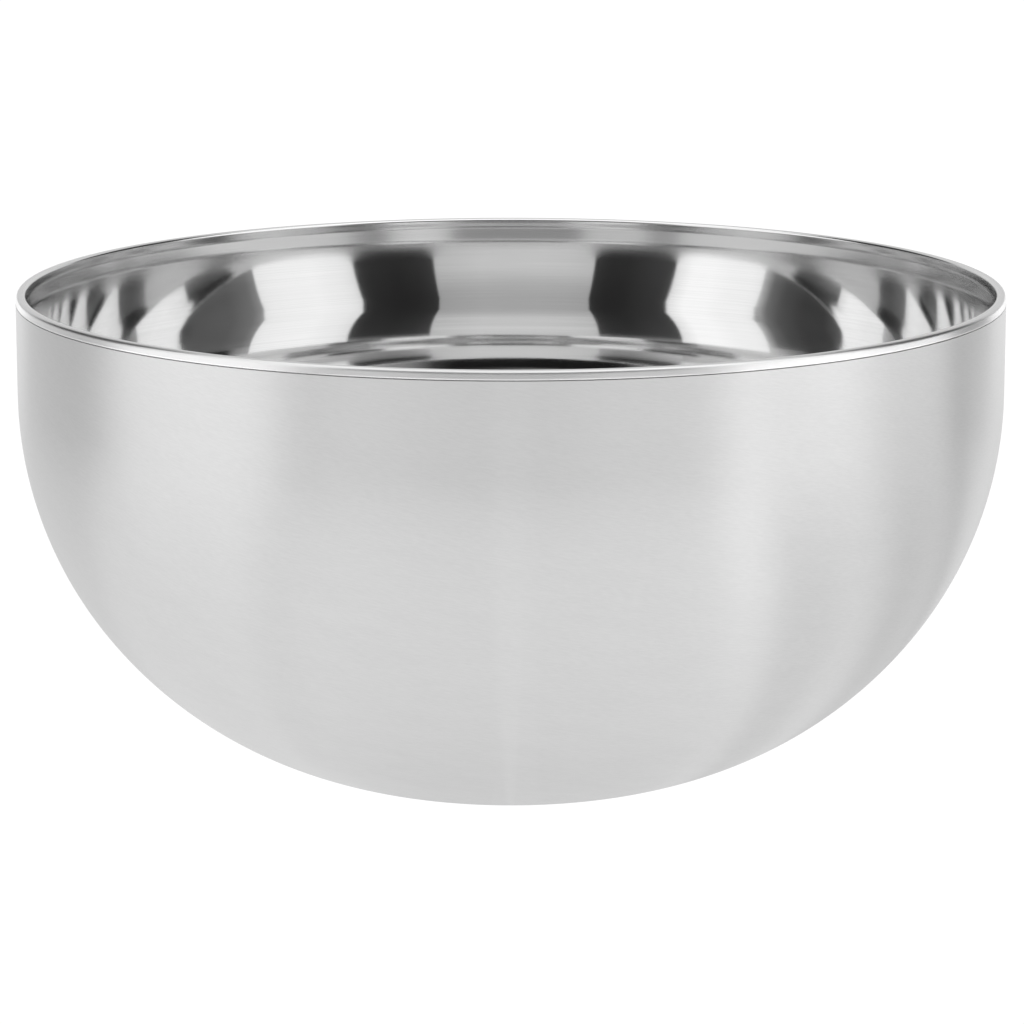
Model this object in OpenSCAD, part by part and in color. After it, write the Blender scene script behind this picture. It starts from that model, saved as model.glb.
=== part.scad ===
// Double-walled shaving bowl, in millimetres.
// A mirror-finished inner shell is rolled out and down over the edge of a satin outer shell.
// Air lies between the two shells. The origin is the centre of the flat base, with +Z up.
// Each shell's profile is drawn as the region inside its outer face, less the region inside its inner face.

/* [Bowl] */
// Diameter over the rim
rim_d = 120; // [118:1:126]
// Height from the table to the top of the rim
bowl_h = 60.5; // [58:0.5:61]
// Height of the straight wall, down from the top of the rim
straight_h = 12.2; // [10:0.1:14]
// Radius of the side curve, as a share of the curved depth
side_share = 0.98; // [0.96:0.01:1]

/* [Sheets] */
// Thickness of both steel sheets
sheet_t = 0.4; // [0.3:0.05:0.45]
// Distance from the flat base up to where the outer shell's lower curve would end if it weren't cut flat
foot_dip = 0.3; // [0.2:0.1:0.6]
// The same distance at the inner shell's flat floor
floor_dip = 0.2; // [0.2:0.1:0.6]
// Height of the inner shell's floor above the table
floor_z = 6.8; // [4:0.1:8]

/* [Rim] */
// Height of the rolled rim on the outside, from its top to the seam
hem_h = 1.05; // [0.95:0.05:1.5]
// Height over which the outer shell steps in under the rim
tuck_h = 0.25; // [0.2:0.05:0.4]
// Height left free between the outer shell's edge and the roll of the rim
edge_gap = 0.1; // [0.05:0.05:0.2]
// Height over which the inside wall flares outward to the rim
flare_h = 2; // [1.5:0.1:3]
// Distance that the inside wall flares outward
flare_w = 0.2; // [0.15:0.05:0.4]

/* [Base] */
// Diameter of the raised panel in the middle of the base
panel_d = 23.6; // [20:0.2:25]
// Height of the raised panel
panel_z = 0.6; // [0.5:0.1:1]
// Width of the slope between the panel and the flat ring that the bowl stands on
slope_w = 0.8; // [0.4:0.1:1]

/* [Vent plug] */
// Diameter of the vent hole in the panel
vent_d = 5; // [3:0.5:6]
// Diameter of the plug's head, under the panel
plug_head_d = 9; // [8:0.5:10]
// Thickness of the plug's head
plug_head_t = 0.35; // [0.2:0.05:0.45]
// Diameter of the plug's flared end, inside the air space
plug_flare_d = 6.2; // [6.2:0.1:7]
// Thickness of the plug's flared end
plug_flare_t = 0.3; // [0.2:0.05:0.4]

/* [Hidden] */
$fn = 180;

rim_r = rim_d / 2;
wall_z = bowl_h - straight_h;

// The rim is three sheets thick: two of the inner shell's, with the outer shell's edge between
roll_out_r = 1.5 * sheet_t;
roll_in_r = 0.5 * sheet_t;
roll_c = [rim_r - roll_out_r, bowl_h - roll_out_r];
edge_in_r = rim_r - 2 * sheet_t;
edge_out_r = rim_r - sheet_t;

inside_r = rim_r - 3 * sheet_t - flare_w;
tuck_top_z = bowl_h - hem_h;
tuck_low_z = tuck_top_z - tuck_h;
edge_top_z = roll_c.y - edge_gap;

// Direction from the centres of a shell's two curves to the point where the curves meet
join = [0.8, -0.6];
// Length greater than any radius
reach = 100;

// Radius of the lower curve, which runs past the flat by the dip
function low_r(depth, side_r, dip) = (depth + dip + side_r * join.y) / (1 + join.y);

// How far a sheet's second face lags behind its first where the sheet slopes sideways
function lag(along, across) = sheet_t * (norm([along, across]) - along) / across;

// The flare ends at the level where the outer shell's edge meets the inner shell
tuck_lag = lag(tuck_h, sheet_t);
flare_lag = lag(flare_h, flare_w);
meet_z = tuck_top_z - tuck_lag;
flare_top_z = meet_z + flare_lag;
flare_low_z = flare_top_z - flare_h;

outer_side_r = side_share * wall_z;
outer_low_r = low_r(wall_z, outer_side_r, foot_dip);

inner_depth = wall_z - floor_z;
inner_side_r = side_share * inner_depth;
inner_low_r = low_r(inner_depth, inner_side_r, floor_dip);

panel_r = panel_d / 2;
slope_lag = lag(slope_w, panel_z);
// Radius inside which the flat base gives way to the slope and the panel
ring_r = panel_r + slope_w + 2 * slope_lag;

// Region inside a curved face, from its flat at low_z up to the start of the straight wall at wall_r
module inside_face(wall_r, side_r, low_r, low_z) {
    side_c = [wall_r - side_r, wall_z];
    low_c = side_c + (side_r - low_r) * join;
    intersection() {
        translate([0, low_z]) square([reach, wall_z - low_z]);
        union() {
            square([low_c.x, wall_z]);
            intersection() {
                translate(low_c) circle(low_r);
                polygon([[0, wall_z], [0, -reach], side_c + reach * join, side_c]);
            }
            intersection() {
                translate(side_c) circle(side_r);
                polygon([side_c, side_c + reach * join, side_c + [reach, 0]]);
            }
        }
    }
}

// Ring's upper half: the sheet rolled over from one upright face to the other
module rim_roll() {
    translate(roll_c) difference() {
        circle(roll_out_r);
        circle(roll_in_r);
        translate([-roll_out_r, -roll_out_r]) square([2 * roll_out_r, roll_out_r]);
    }
}

// Floor, wall, flare, and the rim rolled out and down over the outer shell's edge
module inner_shell() {
    color([0.86, 0.86, 0.87]) rotate_extrude() {
        difference() {
            inside_face(
                inside_r + sheet_t, inner_side_r + sheet_t, inner_low_r + sheet_t, floor_z - sheet_t
            );
            inside_face(inside_r, inner_side_r, inner_low_r, floor_z);
        }
        polygon([
            [inside_r + sheet_t, wall_z],
            [inside_r + sheet_t, flare_low_z - flare_lag],
            [edge_in_r, meet_z],
            [edge_in_r, roll_c.y],
            [edge_in_r - sheet_t, roll_c.y],
            [edge_in_r - sheet_t, flare_top_z],
            [inside_r, flare_low_z],
            [inside_r, wall_z]
        ]);
        rim_roll();
        translate([edge_out_r, tuck_top_z]) square([sheet_t, roll_c.y - tuck_top_z]);
    }
}

// Base with its raised panel and vent hole, wall, and the edge stepped in under the rim
module outer_shell() {
    vent_r = vent_d / 2;
    color([0.72, 0.72, 0.73]) rotate_extrude() {
        difference() {
            inside_face(rim_r, outer_side_r, outer_low_r, 0);
            inside_face(rim_r - sheet_t, outer_side_r - sheet_t, outer_low_r - sheet_t, sheet_t);
            square([ring_r, sheet_t]);
        }
        polygon([
            [vent_r, panel_z],
            [panel_r, panel_z],
            [panel_r + slope_w, 0],
            [ring_r, 0],
            [ring_r, sheet_t],
            [panel_r + slope_w + slope_lag, sheet_t],
            [panel_r + slope_lag, panel_z + sheet_t],
            [vent_r, panel_z + sheet_t]
        ]);
        polygon([
            [rim_r, wall_z],
            [rim_r, tuck_low_z],
            [edge_out_r, tuck_top_z],
            [edge_out_r, edge_top_z],
            [edge_in_r, edge_top_z],
            [edge_in_r, meet_z],
            [edge_out_r, tuck_low_z - tuck_lag],
            [edge_out_r, wall_z]
        ]);
    }
}

// Bead of sealant in the narrow space between the shells, under the outer shell's edge
module rim_seal() {
    color([0.25, 0.25, 0.26]) rotate_extrude() polygon([
        [inside_r + sheet_t, flare_low_z - flare_lag],
        [edge_out_r, flare_low_z - flare_lag],
        [edge_out_r, tuck_low_z - tuck_lag],
        [edge_in_r, meet_z]
    ]);
}

// Plug that closes the vent: a head under the panel, a stem through it and a flared end above
module vent_plug() {
    color([0.66, 0.66, 0.68]) union() {
        translate([0, 0, panel_z - plug_head_t]) cylinder(h = plug_head_t, d = plug_head_d);
        translate([0, 0, panel_z]) cylinder(h = sheet_t, d = vent_d);
        translate([0, 0, panel_z + sheet_t]) cylinder(h = plug_flare_t, d = plug_flare_d);
    }
}

inner_shell();
outer_shell();
rim_seal();
vent_plug();
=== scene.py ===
"""Double-walled shaving bowl: a mirror-finished inner shell rolled over the edge of a satin outer shell."""

import math

import bpy
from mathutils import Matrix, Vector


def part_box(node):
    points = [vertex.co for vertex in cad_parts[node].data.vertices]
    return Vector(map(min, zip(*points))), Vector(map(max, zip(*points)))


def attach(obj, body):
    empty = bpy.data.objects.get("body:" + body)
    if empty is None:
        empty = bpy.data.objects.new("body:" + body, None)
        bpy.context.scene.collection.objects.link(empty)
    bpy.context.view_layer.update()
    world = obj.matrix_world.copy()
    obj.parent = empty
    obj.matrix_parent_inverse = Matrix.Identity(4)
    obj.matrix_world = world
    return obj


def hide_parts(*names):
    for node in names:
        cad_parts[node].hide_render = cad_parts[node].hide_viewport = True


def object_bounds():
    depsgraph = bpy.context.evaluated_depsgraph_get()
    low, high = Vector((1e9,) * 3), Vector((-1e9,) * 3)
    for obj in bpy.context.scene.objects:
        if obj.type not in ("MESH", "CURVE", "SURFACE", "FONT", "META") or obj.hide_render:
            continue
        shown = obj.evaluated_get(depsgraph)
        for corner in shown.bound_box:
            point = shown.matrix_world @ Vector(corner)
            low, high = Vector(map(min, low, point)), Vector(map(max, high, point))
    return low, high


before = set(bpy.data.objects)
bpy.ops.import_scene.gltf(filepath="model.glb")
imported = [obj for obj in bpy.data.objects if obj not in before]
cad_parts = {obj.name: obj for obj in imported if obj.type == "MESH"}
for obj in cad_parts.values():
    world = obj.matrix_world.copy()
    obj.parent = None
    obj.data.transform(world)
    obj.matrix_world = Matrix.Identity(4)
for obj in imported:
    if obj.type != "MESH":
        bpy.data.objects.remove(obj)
cad_low, cad_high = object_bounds()

MM = 0.001

# Overall sizes, from the frame
RIM_R = cad_high.x
RIM_Z = cad_high.z
INNER_LOW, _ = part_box("inner_shell")
_, OUTER_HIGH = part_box("outer_shell")
PLUG_LOW, PLUG_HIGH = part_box("vent_plug")

# The sheets and their curves, as in the design
SHEET = 0.4 * MM
FLARE_W = 0.2 * MM
FLARE_H = 2.0 * MM
FLARE_STOP = 0.2 * MM
HEM_H = 1.05 * MM
WALL_Z = RIM_Z - 12.2 * MM
SIDE_SHARE = 0.98
JOIN_SIN, JOIN_COS = 0.8, 0.6
FOOT_DIP = 0.3 * MM
FLOOR_DIP = 0.2 * MM
PANEL_R = 11.8 * MM
PANEL_Z = 0.6 * MM
SLOPE_W = 0.8 * MM
VENT_R = 2.5 * MM
PLUG_FLARE_R = 3.1 * MM

# Finer shapes than the design has. The inside wall leans in by the neck, the rim has a shoulder on each
# side, the skirt under it tapers outward, and the step under the skirt is low.
NECK_W = 0.08 * MM
INNER_SHOULDER = 0.35 * MM
OUTER_SHOULDER = 0.45 * MM
SKIRT_TAPER = math.radians(8)
SKIRT_EDGE_R = 0.02 * MM
TUCK_H = 0.12 * MM
FLAT_BEND_R = 15 * MM
PLUG_CHAMFER = 0.1 * MM

ROLL_R = 1.5 * SHEET
SLOT_R = 0.5 * SHEET
ROLL_C = (RIM_R - ROLL_R, RIM_Z - ROLL_R)
EDGE_OUT_R = RIM_R - SHEET
EDGE_IN_R = RIM_R - 2 * SHEET
LIP_R = RIM_R - 3 * SHEET
FLOOR_Z = INNER_LOW.z + SHEET
SKIRT_Z = RIM_Z - HEM_H
FLARE_TOP = SKIRT_Z - FLARE_STOP
FLARE_LOW = FLARE_TOP - FLARE_H
INSIDE_R = LIP_R - FLARE_W
WALL_R = INSIDE_R + NECK_W

TURNS = 384
SHARP_ANGLE = math.radians(35)
UV_NAME = "turned"
QUARTER = math.pi / 2

# The camera: its place in metres, how far it looks down, and its lens
CAMERA_AT = (0.00013, -0.54206, 0.14503)
CAMERA_DIP = math.radians(11.74)
CAMERA_LENS = 158.2
CAMERA_SENSOR = 36


# ---------------------------------------------------------------- profiles

def arc(centre, radius, start, end, count):
    """Points round a centre. An angle is 0 straight below it and a quarter turn straight outside it."""
    step = (end - start) / count
    return [
        (centre[0] + radius * math.sin(start + i * step), centre[1] - radius * math.cos(start + i * step))
        for i in range(count + 1)
    ]


def from_centre(centre, distance, angle):
    return centre[0] + distance * math.sin(angle), centre[1] - distance * math.cos(angle)


def bowl_curve(wall_r, low_z, dip, offset):
    """A shell's face from its flat up to the end of its side curve, moved outward by offset."""
    depth = WALL_Z - low_z
    side_r = SIDE_SHARE * depth
    lower_r = (depth + dip - side_r * JOIN_COS) / (1 - JOIN_COS)
    join_angle = math.asin(JOIN_SIN)
    side_c = (wall_r - side_r, WALL_Z)
    lower_c = from_centre(side_c, side_r - lower_r, join_angle)
    bend_angle = math.acos((lower_c[1] - low_z - FLAT_BEND_R) / (lower_r - FLAT_BEND_R))
    bend_c = from_centre(lower_c, lower_r - FLAT_BEND_R, bend_angle)
    bend = arc(bend_c, FLAT_BEND_R + offset, 0, bend_angle, 6)
    lower = arc(lower_c, lower_r + offset, bend_angle, join_angle, 40)
    side = arc(side_c, side_r + offset, join_angle, QUARTER, 32)
    return bend + lower[1:] + side[1:]


def straight(start, end, count):
    """Points from start to end, without start."""
    return [
        (start[0] + (end[0] - start[0]) * i / count, start[1] + (end[1] - start[1]) * i / count)
        for i in range(1, count + 1)
    ]


def ease(start, end, count):
    """Points of a slope that starts and ends level, without start."""
    points = []
    for i in range(1, count + 1):
        share = i / count
        rise = (1 - math.cos(math.pi * share)) / 2
        points.append((start[0] + (end[0] - start[0]) * share, start[1] + (end[1] - start[1]) * rise))
    return points


def flare(start, end, count):
    """Points of a face that bends outward at first and then runs straight, without start."""
    bend = 0.3
    lean = 1 / (1 - bend / 2)
    points = []
    for i in range(1, count + 1):
        share = i / count
        out = lean * (share**2 / (2 * bend) if share < bend else share - bend / 2)
        points.append((start[0] + (end[0] - start[0]) * out, start[1] + (end[1] - start[1]) * share))
    return points


def rolled_rim():
    """The rim's outer face, from the inside of its lip over the top and down to the edge of the skirt."""
    top_r = RIM_R - (RIM_Z - OUTER_SHOULDER - SKIRT_Z) * math.tan(SKIRT_TAPER) - OUTER_SHOULDER
    inner_c = (LIP_R + INNER_SHOULDER, RIM_Z - INNER_SHOULDER)
    edge_c = (RIM_R - SKIRT_EDGE_R, SKIRT_Z + SKIRT_EDGE_R)
    points = arc(inner_c, INNER_SHOULDER, -QUARTER, -2 * QUARTER, 12)
    points += arc((top_r, RIM_Z - OUTER_SHOULDER), OUTER_SHOULDER, 2 * QUARTER, QUARTER + SKIRT_TAPER, 12)
    points += straight(points[-1], (RIM_R, edge_c[1]), 4)
    return points + arc(edge_c, SKIRT_EDGE_R, QUARTER, 0, 5)[1:]


def inner_profile():
    inside = bowl_curve(WALL_R, FLOOR_Z, FLOOR_DIP, 0)
    outside = bowl_curve(WALL_R, FLOOR_Z, FLOOR_DIP, SHEET)
    points = [(0, FLOOR_Z)] + straight((0, FLOOR_Z), inside[0], 6)[:-1] + inside
    points += straight((WALL_R, WALL_Z), (INSIDE_R, FLARE_LOW), 6)
    points += flare((INSIDE_R, FLARE_LOW), (LIP_R, FLARE_TOP), 10)
    points += straight((LIP_R, FLARE_TOP), (LIP_R, RIM_Z - INNER_SHOULDER), 3)[:-1]
    points += rolled_rim()
    points += [(EDGE_OUT_R, SKIRT_Z)]
    points += arc(ROLL_C, SLOT_R, -3 * QUARTER, -QUARTER, 8)
    points += [(EDGE_IN_R, FLARE_TOP), (INSIDE_R + SHEET, FLARE_LOW)]
    points += outside[::-1]
    return points + [(0, FLOOR_Z - SHEET)]


def outer_profile():
    outside = bowl_curve(RIM_R, 0, FOOT_DIP, 0)
    inside = bowl_curve(RIM_R, 0, FOOT_DIP, -SHEET)
    foot_r = outside[0][0]
    ring_r = PANEL_R + SLOPE_W
    tuck_low = SKIRT_Z - TUCK_H
    lag = math.hypot(TUCK_H, SHEET) - TUCK_H
    edge_top = OUTER_HIGH.z
    points = [(VENT_R, PANEL_Z)] + straight((VENT_R, PANEL_Z), (PANEL_R, PANEL_Z), 4)
    points += ease((PANEL_R, PANEL_Z), (ring_r, 0), 10)
    points += straight((ring_r, 0), (foot_r, 0), 2)[:-1] + outside
    points += straight((RIM_R, WALL_Z), (RIM_R, tuck_low), 6)
    points += [(EDGE_OUT_R, SKIRT_Z), (EDGE_OUT_R, edge_top), (EDGE_IN_R, edge_top)]
    points += [(EDGE_IN_R, SKIRT_Z - lag), (EDGE_OUT_R, tuck_low - lag)]
    points += inside[::-1]
    points += ease((ring_r, SHEET), (PANEL_R, PANEL_Z + SHEET), 10)
    return points + [(VENT_R, PANEL_Z + SHEET)]


def plug_profile():
    head_r = PLUG_HIGH.x
    low = PLUG_LOW.z
    return [
        (0, low),
        (head_r - PLUG_CHAMFER, low),
        (head_r, low + PLUG_CHAMFER),
        (head_r, PANEL_Z),
        (VENT_R, PANEL_Z),
        (VENT_R, PANEL_Z + SHEET),
        (PLUG_FLARE_R, PANEL_Z + SHEET),
        (PLUG_FLARE_R - PLUG_CHAMFER, PLUG_HIGH.z),
        (0, PLUG_HIGH.z),
    ]


# ---------------------------------------------------------------- meshes

def mesh_object(name, verts, faces):
    mesh = bpy.data.meshes.new(name)
    mesh.from_pydata(verts, [], faces)
    made = bpy.data.objects.new(name, mesh)
    bpy.context.scene.collection.objects.link(made)
    return made


def lathe(name, profile, closed):
    """Turn a profile about Z. A UV map gives the share of a turn and the length along the profile."""
    runs = [0.0]
    for before, after in zip(profile, profile[1:]):
        runs.append(runs[-1] + math.dist(before, after))
    verts, rings = [], []
    for radius, height in profile:
        if radius == 0:
            rings.append([len(verts)] * TURNS)
            verts.append((0, 0, height))
            continue
        rings.append(range(len(verts), len(verts) + TURNS))
        for i in range(TURNS):
            angle = 2 * math.pi * i / TURNS
            verts.append((radius * math.cos(angle), radius * math.sin(angle), height))
    faces, uvs = [], []
    pairs = [(i, i + 1) for i in range(len(profile) - 1)]
    if closed:
        pairs.append((len(profile) - 1, 0))
    for low, high in pairs:
        for i in range(TURNS):
            j = (i + 1) % TURNS
            corners = [
                (rings[low][i], i, runs[low]),
                (rings[low][j], i + 1, runs[low]),
                (rings[high][j], i + 1, runs[high]),
                (rings[high][i], i, runs[high]),
            ]
            if rings[low][i] == rings[low][j]:
                del corners[1]
            elif rings[high][i] == rings[high][j]:
                del corners[2]
            faces.append([vert for vert, _, _ in corners])
            uvs += [(turn / TURNS, run) for _, turn, run in corners]
    piece = mesh_object(name, verts, faces)
    layer = piece.data.uv_layers.new(name=UV_NAME)
    for loop, uv in zip(layer.data, uvs):
        loop.uv = uv
    piece.data.shade_smooth()
    piece.data.set_sharp_from_angle(angle=SHARP_ANGLE)
    return piece


# ---------------------------------------------------------------- materials

def new_material(name, shader_type="ShaderNodeBsdfPrincipled"):
    material = bpy.data.materials.new(name)
    material.use_nodes = True
    tree = material.node_tree
    tree.nodes.clear()
    output = tree.nodes.new("ShaderNodeOutputMaterial")
    shader = tree.nodes.new(shader_type)
    tree.links.new(shader.outputs[0], output.inputs["Surface"])
    return material, tree, shader


def math_node(tree, operation, first, second=None):
    node = tree.nodes.new("ShaderNodeMath")
    node.operation = operation
    for socket, value in zip(node.inputs, (first, second)):
        if isinstance(value, bpy.types.NodeSocket):
            tree.links.new(value, socket)
        elif value is not None:
            socket.default_value = value
    return node.outputs[0]


def remap(tree, value, low, high, to_low, to_high):
    node = tree.nodes.new("ShaderNodeMapRange")
    tree.links.new(value, node.inputs["Value"])
    for socket, number in zip(node.inputs[1:5], (low, high, to_low, to_high)):
        socket.default_value = number
    return node.outputs["Result"]


def place(tree):
    """The x, y and z of a surface point, its angle about Z and its distance along the profile."""
    coords = tree.nodes.new("ShaderNodeTexCoord")
    split = tree.nodes.new("ShaderNodeSeparateXYZ")
    tree.links.new(coords.outputs["Object"], split.inputs[0])
    uv = tree.nodes.new("ShaderNodeUVMap")
    uv.uv_map = UV_NAME
    uv_split = tree.nodes.new("ShaderNodeSeparateXYZ")
    tree.links.new(uv.outputs["UV"], uv_split.inputs[0])
    x, y, z = split.outputs
    return x, y, z, math_node(tree, "ARCTAN2", y, x), uv_split.outputs[1]


def stroke_noise(tree, where, length, width, slant, detail=2.0, seed=0.0):
    """Noise drawn out round the bowl into strokes, length by width, that fall by slant as they go."""
    x, y, _, angle, run = where
    climb = math_node(tree, "MULTIPLY", angle, RIM_R * slant)
    across = math_node(tree, "ADD", run, climb)
    parts = (
        math_node(tree, "DIVIDE", x, length),
        math_node(tree, "DIVIDE", y, length),
        math_node(tree, "DIVIDE", across, width),
    )
    vector = tree.nodes.new("ShaderNodeCombineXYZ")
    for part, socket in zip(parts, vector.inputs):
        tree.links.new(part, socket)
    noise = tree.nodes.new("ShaderNodeTexNoise")
    noise.noise_dimensions = "4D"
    noise.inputs["W"].default_value = seed
    noise.inputs["Scale"].default_value = 1.0
    noise.inputs["Detail"].default_value = detail
    tree.links.new(vector.outputs[0], noise.inputs["Vector"])
    return noise.outputs["Fac"]


def grey_ramp(tree, value, stops):
    ramp = tree.nodes.new("ShaderNodeValToRGB")
    tree.links.new(value, ramp.inputs[0])
    elements = ramp.color_ramp.elements
    while len(elements) < len(stops):
        elements.new(0.5)
    for element, (position, grey) in zip(elements, stops):
        element.position = position
        element.color = (grey, grey, grey, 1)
    return ramp.outputs["Color"]


def bump(tree, height, distance):
    node = tree.nodes.new("ShaderNodeBump")
    node.inputs["Strength"].default_value = 1.0
    node.inputs["Distance"].default_value = distance
    tree.links.new(height, node.inputs["Height"])
    return node.outputs["Normal"]


def blur_up_and_down(tree, shader):
    """Point the shader's anisotropic blur along the profile, across strokes that run round the bowl."""
    tangent = tree.nodes.new("ShaderNodeTangent")
    tangent.direction_type = "RADIAL"
    tangent.axis = "Z"
    tree.links.new(tangent.outputs[0], shader.inputs["Tangent"])
    shader.inputs["Anisotropic Rotation"].default_value = 0.25


def satin_steel():
    """Steel brushed round the bowl with short, faint strokes, which blur reflections mostly up and down."""
    material, tree, shader = new_material("satin_steel")
    where = place(tree)
    fine = stroke_noise(tree, where, 1.1 * MM, 0.16 * MM, 0.2)
    broad = stroke_noise(tree, where, 7.0 * MM, 2.2 * MM, 0.2, detail=1.0, seed=4.0)
    fine_part = math_node(tree, "MULTIPLY", fine, 0.7)
    both = math_node(tree, "ADD", fine_part, math_node(tree, "MULTIPLY", broad, 0.3))
    tree.links.new(grey_ramp(tree, both, ((0.35, 0.68), (0.65, 0.72))), shader.inputs["Base Color"])
    tree.links.new(remap(tree, both, 0.3, 0.7, 0.38, 0.41), shader.inputs["Roughness"])
    tree.links.new(bump(tree, fine, 0.0012 * MM), shader.inputs["Normal"])
    blur_up_and_down(tree, shader)
    shader.inputs["Metallic"].default_value = 1.0
    shader.inputs["Anisotropic"].default_value = 0.8
    return material


def mirror_steel():
    """Polished steel with faint lines round it, less sharp from just under the flare upward."""
    material, tree, shader = new_material("mirror_steel")
    where = place(tree)
    lines = stroke_noise(tree, where, 30 * MM, 0.12 * MM, 0.0)
    haze = stroke_noise(tree, where, 14 * MM, 9 * MM, 0.0, detail=1.0, seed=7.0)
    x_squared, y_squared = (math_node(tree, "MULTIPLY", along, along) for along in where[:2])
    across = math_node(tree, "SQRT", math_node(tree, "ADD", x_squared, y_squared))
    rim_start, rim_full = ROLL_C[0] - 0.45 * MM, ROLL_C[0] - 0.1 * MM
    on_rim = remap(tree, across, rim_start, rim_full, 0.0, 1.0)
    tone = grey_ramp(tree, lines, ((0.35, 0.88), (0.65, 0.92)))
    dimmer = remap(tree, on_rim, 0.0, 1.0, 1.0, 0.94)
    tree.links.new(math_node(tree, "MULTIPLY", tone, dimmer), shader.inputs["Base Color"])
    polish = remap(tree, haze, 0.3, 0.7, 0.03, 0.05)
    haze_start, haze_full = RIM_Z - 5.5 * MM, RIM_Z - 3.6 * MM
    by_flare = remap(tree, where[2], haze_start, haze_full, 0.0, 0.1)
    brushed = math_node(tree, "ADD", by_flare, math_node(tree, "MULTIPLY", on_rim, 0.16))
    tree.links.new(math_node(tree, "ADD", polish, brushed), shader.inputs["Roughness"])
    tree.links.new(math_node(tree, "MULTIPLY", on_rim, 0.6), shader.inputs["Anisotropic"])
    blur_up_and_down(tree, shader)
    tree.links.new(bump(tree, lines, 0.0004 * MM), shader.inputs["Normal"])
    shader.inputs["Metallic"].default_value = 1.0
    return material


def plug_steel():
    """Turned steel, with fine rings round its axis."""
    material, tree, shader = new_material("plug_steel")
    where = place(tree)
    rings = stroke_noise(tree, where, 6 * MM, 0.08 * MM, 0.0)
    tree.links.new(grey_ramp(tree, rings, ((0.35, 0.50), (0.65, 0.62))), shader.inputs["Base Color"])
    tree.links.new(bump(tree, rings, 0.004 * MM), shader.inputs["Normal"])
    shader.inputs["Metallic"].default_value = 1.0
    shader.inputs["Roughness"].default_value = 0.3
    return material


def sealant():
    """Dark rubbery sealant with a slightly uneven skin."""
    material, tree, shader = new_material("sealant")
    coords = tree.nodes.new("ShaderNodeTexCoord")
    noise = tree.nodes.new("ShaderNodeTexNoise")
    noise.inputs["Scale"].default_value = 900
    tree.links.new(coords.outputs["Object"], noise.inputs["Vector"])
    grain = noise.outputs["Fac"]
    tree.links.new(grey_ramp(tree, grain, ((0.3, 0.04), (0.7, 0.07))), shader.inputs["Base Color"])
    tree.links.new(bump(tree, grain, 0.05 * MM), shader.inputs["Normal"])
    shader.inputs["Roughness"].default_value = 0.6
    return material


# ---------------------------------------------------------------- pieces

def build_bowl():
    parts = (
        ("inner_shell", inner_profile(), False, mirror_steel(), "mirror_steel"),
        ("outer_shell", outer_profile(), True, satin_steel(), "satin_steel"),
        ("vent_plug", plug_profile(), False, plug_steel(), "plug_steel"),
    )
    for node, profile, closed, material, slot in parts:
        piece = lathe("turned_" + node, profile, closed)
        piece.data.materials.append(material)
        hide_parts(node)
        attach(piece, "root")
    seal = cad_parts["rim_seal"]
    seal.data.materials.clear()
    seal.data.materials.append(sealant())


# ---------------------------------------------------------------- studio

# Brightness of the two side lights by elevation
LIGHT_ROWS = (
    (0, 0.45), (1.5, 0.62), (4, 0.6), (4.6, 0.5), (6.2, 0.5), (7.4, 1), (8.5, 1.08), (40, 1.07),
    (50, 0.95),
)

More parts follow.
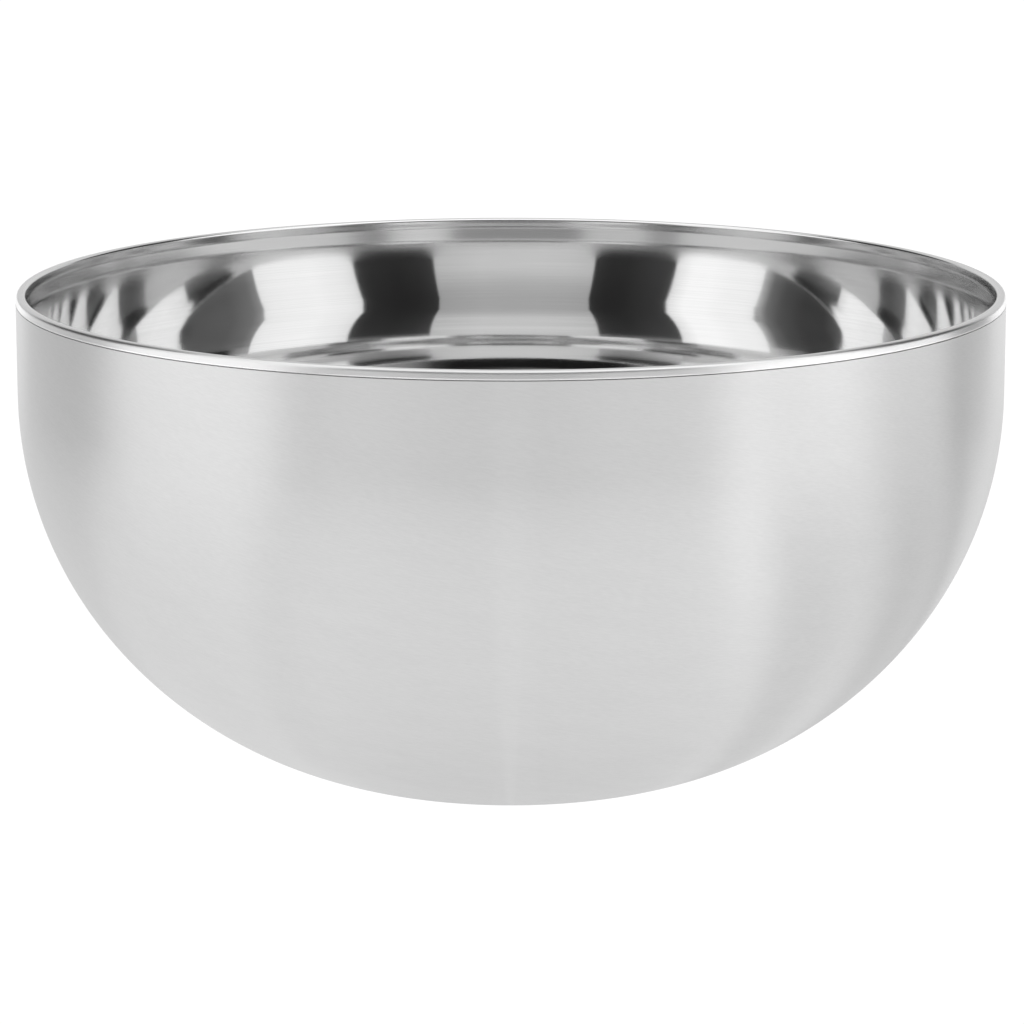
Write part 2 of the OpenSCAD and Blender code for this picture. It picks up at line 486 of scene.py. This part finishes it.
# Each panel of the tent round the bowl: its name, then its brightness by azimuth, then by elevation.
# Azimuth is in degrees from the camera's side, positive to the right.
TENT = (
    (
        "light_left",
        ((-98, 0.82), (-90, 0.92), (-75, 1), (-60, 0.98), (-50, 0.94), (-44, 0.88)),
        LIGHT_ROWS,
    ),
    (
        "light_right",
        ((46, 0.93), (53, 0.98), (64, 1), (74, 1.06), (85, 1.06), (91, 0.9), (94, 0.82)),
        LIGHT_ROWS,
    ),
    (
        "backdrop",
        ((136.5, 0.88), (150, 0.96), (165, 1), (195, 1), (208, 0.93), (220, 0.85)),
        (
            (0, 0.62), (5, 0.66), (14, 0.68), (17, 0.73), (20, 0.65), (30, 0.66), (33, 0.61),
            (38, 0.5), (50, 0.4),
        ),
    ),
    (
        "gap_right",
        ((94, 1.8), (105, 1.4), (119, 0.9), (128, 0.9), (136.5, 1.3)),
        ((0, 0.4), (5, 0.3), (6.5, 0.25), (7.8, 0.15), (10, 0.1), (12, 0.04), (50, 0.02)),
    ),
    (
        "gap_left",
        ((220, 1.5), (230, 1), (240, 0.8), (255, 1), (262, 1.5)),
        ((0, 0.4), (5, 0.3), (6.5, 0.25), (8.5, 0.15), (10.5, 0.1), (12, 0.04), (50, 0.02)),
    ),
    (
        "front_low",
        (
            (-44, 0.4), (-42, 0.26), (-37, 0.26), (-33, 0.53), (-20, 0.55), (-16.5, 0.27),
            (14, 0.28), (16.5, 0.62), (24, 0.66), (30, 0.52), (33, 0.22), (38, 0.25), (42, 0.42),
            (46, 0.5),
        ),
        ((0, 0.9), (3, 1.3), (4.5, 1.2), (5.2, 1), (8.1, 1)),
    ),
    (
        "front_dark",
        (
            (-44, 0.4), (-36, 0.25), (-30, 0.03), (-26, 0.01), (15, 0.01), (20, 0.04), (26, 0.2),
            (34, 0.3), (46, 0.6),
        ),
        ((8.1, 1), (12.8, 1)),
    ),
    (
        "front_high",
        (
            (-44, 0.25), (-38, 0.16), (-26, 0.11), (-4, 0.1), (6, 0.05), (20, 0.05), (32, 0.08),
            (40, 0.15), (46, 0.5),
        ),
        ((12.8, 1.2), (18, 1), (28, 1.2)),
    ),
    (
        "front_top",
        ((-44, 2), (-30, 1), (30, 0.9), (46, 2.2)),
        ((28, 0.16), (34, 0.2), (46, 0.22), (50, 0.5)),
    ),
    (
        "overhead_front",
        ((-90, 0.85), (-45, 0.85), (45, 1.1), (90, 1.1)),
        ((50, 1), (54, 1.3), (68, 1.3), (76, 1.05), (89, 1)),
    ),
    (
        "overhead_back",
        ((90, 0.85), (150, 0.9), (210, 1.1), (270, 1.15)),
        ((50, 0.8), (58, 0.95), (70, 1), (89, 1)),
    ),
)
# Radius of the tent and height of its centre, in metres
TENT_R = 2.0
TENT_Z = 0.055

# Each part of the lit table that the bowl mirrors, drawn as a glowing sheet with the table's light and
# shade
# painted in (painted shade close to the bowl, painted light further out): its name, then its brightness by
# azimuth, then by distance from the bowl's centre in metres
TABLE = (
    (
        "table_front",
        ((-40, 1), (40, 1)),
        ((0.02, 0.76), (0.05, 0.98), (0.16, 1.1), (0.4, 1.25), (0.8, 1.6), (2, 1.7)),
    ),
    (
        "table_left",
        ((-98, 1), (-62, 1), (-50, 1.06)),
        ((0.02, 0.8), (0.05, 0.95), (0.16, 1.05), (0.4, 1.25), (0.7, 2.3), (2, 2.7)),
    ),
    (
        "table_right",
        ((50, 1), (62, 1), (71, 1.15), (78, 1.1), (87, 0.84), (98, 0.96)),
        ((0.02, 0.72), (0.05, 0.86), (0.16, 0.87), (0.4, 0.95), (0.7, 3), (2, 3.8)),
    ),
    (
        "table_far_right",
        ((98, 0.96), (108, 0.85), (116, 0.5)),
        ((0.02, 0.9), (0.16, 0.95), (0.4, 1.1), (0.7, 2.8), (2, 3.5)),
    ),
    (
        "table_back",
        ((138, 1), (218, 1)),
        ((0.02, 0.7), (0.16, 0.85), (0.5, 1.2), (2, 1.5)),
    ),
    (
        "shade_left",
        ((-50, 1), (-40, 1)),
        ((0.02, 0.82), (0.05, 0.94), (0.16, 0.96), (0.45, 0.88), (0.55, 0), (2, 0)),
    ),
    (
        "shade_right",
        ((40, 1), (50, 1)),
        ((0.02, 0.8), (0.05, 1), (0.16, 1.4), (0.45, 1.6), (0.55, 0), (2, 0)),
    ),
    (
        "shade_back_left",
        ((218, 1), (262, 1)),
        ((0.02, 0.86), (0.16, 0.87), (0.5, 0.75), (2, 0.5)),
    ),
    (
        "shade_back_right",
        ((116, 1), (138, 1)),
        ((0.02, 0.89), (0.16, 1), (0.45, 1.1), (0.55, 0), (2, 0)),
    ),
)
# Brightness and half width of the white table that the camera sees
TABLE_GLOW = 1.05
TABLE_HALF = 4
# Depths of the mirrored and the seen table under the bowl, so that no two faces lie in one plane
MIRRORED_TABLE_DROP = 0.00005
TABLE_DROP = 0.0001

# Greatest step between a sheet's points, in degrees or metres
GLOW_STEP = 4

# Times that light can bounce inside the bowl
BOUNCES = 24


def between(stops, where):
    """The value at a position, on straight lines between (position, value) stops."""
    for (low, low_value), (high, high_value) in zip(stops, stops[1:]):
        if where <= high:
            return low_value + (high_value - low_value) * (where - low) / (high - low)
    return stops[-1][1]


def divide(stops, step):
    """Positions from the first stop to the last, at every stop and at most a step apart."""
    places = [stops[0][0]]
    for (low, _), (high, _) in zip(stops, stops[1:]):
        count = math.ceil((high - low) / step)
        places += [low + (high - low) * (i + 1) / count for i in range(count)]
    return places


def stage_sheet(name, verts, faces, material):
    """A studio sheet: a mesh object with the given material."""
    sheet = mesh_object(name, verts, faces)
    sheet.data.materials.append(material)
    return sheet


def glow_sheet(name, columns, rows, point, material):
    """A sheet of varying brightness, unseen by the camera. point(azimuth, row) places its points."""
    azimuths = divide(columns, GLOW_STEP)
    levels = divide(rows, GLOW_STEP)
    verts, glow = [], []
    for level in levels:
        for azimuth in azimuths:
            verts.append(point(math.radians(azimuth), level))
            glow.append(between(columns, azimuth) * between(rows, level))
    wide = len(azimuths)
    faces = [
        (i * wide + j, i * wide + j + 1, (i + 1) * wide + j + 1, (i + 1) * wide + j)
        for i in range(len(levels) - 1)
        for j in range(wide - 1)
    ]
    sheet = stage_sheet(name, verts, faces, material)
    sheet.data.attributes.new("glow", "FLOAT", "POINT").data.foreach_set("value", glow)
    sheet.visible_camera = False
    sheet.visible_shadow = False


def on_tent(azimuth, elevation):
    out = TENT_R * math.cos(math.radians(elevation))
    up = TENT_Z + TENT_R * math.sin(math.radians(elevation))
    return out * math.sin(azimuth), -out * math.cos(azimuth), up


def on_table(azimuth, distance):
    return distance * math.sin(azimuth), -distance * math.cos(azimuth), -MIRRORED_TABLE_DROP


def build_room():
    """White behind everything for the camera, and black for the reflections."""
    world = bpy.data.worlds.new("room")
    bpy.context.scene.world = world
    world.use_nodes = True
    tree = world.node_tree
    tree.nodes.clear()
    output = tree.nodes.new("ShaderNodeOutputWorld")
    path = tree.nodes.new("ShaderNodeLightPath")
    backing = tree.nodes.new("ShaderNodeBackground")
    backing.inputs["Color"].default_value = (1, 1, 1, 1)
    tree.links.new(path.outputs["Is Camera Ray"], backing.inputs["Strength"])
    tree.links.new(backing.outputs[0], output.inputs["Surface"])


def build_studio():
    """A white table in a tent of soft lights, with darker gaps between them. The table that the bowl
    mirrors is glowing sheets with painted light and shade.
    """
    glowing, tree, light = new_material("lamp_cloth_and_painted_table", "ShaderNodeEmission")
    glow = tree.nodes.new("ShaderNodeAttribute")
    glow.attribute_name = "glow"
    tree.links.new(glow.outputs["Fac"], light.inputs["Strength"])
    for name, columns, rows in TENT:
        glow_sheet(name, columns, rows, on_tent, glowing)
    # The mirrored table: sheets that glow with painted light and painted shade (darker near the bowl), not
    # lamps
    for name, columns, rows in TABLE:
        glow_sheet(name, columns, rows, on_table, glowing)

    white, _, light = new_material("white_table", "ShaderNodeEmission")
    light.inputs["Strength"].default_value = TABLE_GLOW
    half = TABLE_HALF
    corners = [(-half, -half, 0), (half, -half, 0), (half, half, 0), (-half, half, 0)]
    floor = stage_sheet("floor", corners, [(0, 1, 2, 3)], white)
    floor.location = (0, 0, -TABLE_DROP)

    scene = bpy.context.scene
    scene.view_settings.view_transform = "Standard"
    scene.cycles.max_bounces = BOUNCES
    scene.cycles.glossy_bounces = BOUNCES


def build_camera():
    data = bpy.data.cameras.new("camera")
    data.lens = CAMERA_LENS
    data.sensor_width = CAMERA_SENSOR
    data.clip_start = 0.01
    camera = bpy.data.objects.new("camera", data)
    camera.location = CAMERA_AT
    camera.rotation_euler = (QUARTER - CAMERA_DIP, 0, 0)
    bpy.context.scene.collection.objects.link(camera)
    bpy.context.scene.camera = camera


build_bowl()
build_studio()
build_room()
build_camera()
